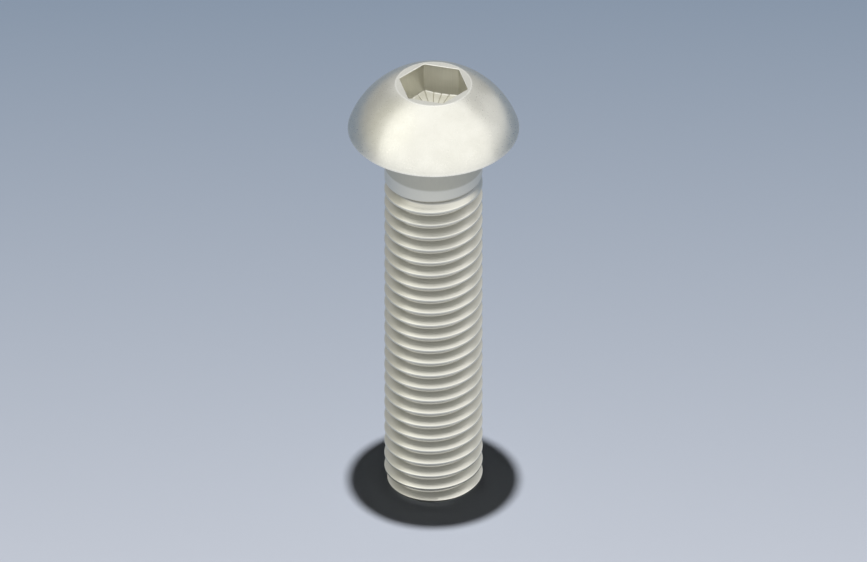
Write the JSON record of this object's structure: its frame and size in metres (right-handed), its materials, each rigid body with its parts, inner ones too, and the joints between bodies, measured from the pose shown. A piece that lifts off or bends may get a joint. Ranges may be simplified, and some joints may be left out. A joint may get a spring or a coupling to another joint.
{
  "type": "button head screw",
  "caption": "Button head screw with a domed head, hexagon socket, tapered neck and straight shank with a chamfered end. It clamps parts under a low, smooth head and is driven with a 5 mm hexagon key.",
  "frame": {"origin": "centre of the bearing face under the head, on the screw's axis", "axes": "+Z along the screw's axis towards the top of the head, the shank runs down -Z; two flats of the hexagon socket face +X and -X, and a corner lies on +Y"},
  "size_m": [0.014, 0.014, 0.0394],
  "materials": {
    "steel": "satin, cold forged head and rolled shank, bare metal with no coating colour"
  },
  "bodies": {
    "root": {"button_head_screw": "steel"}
  },
  "joints": []
}
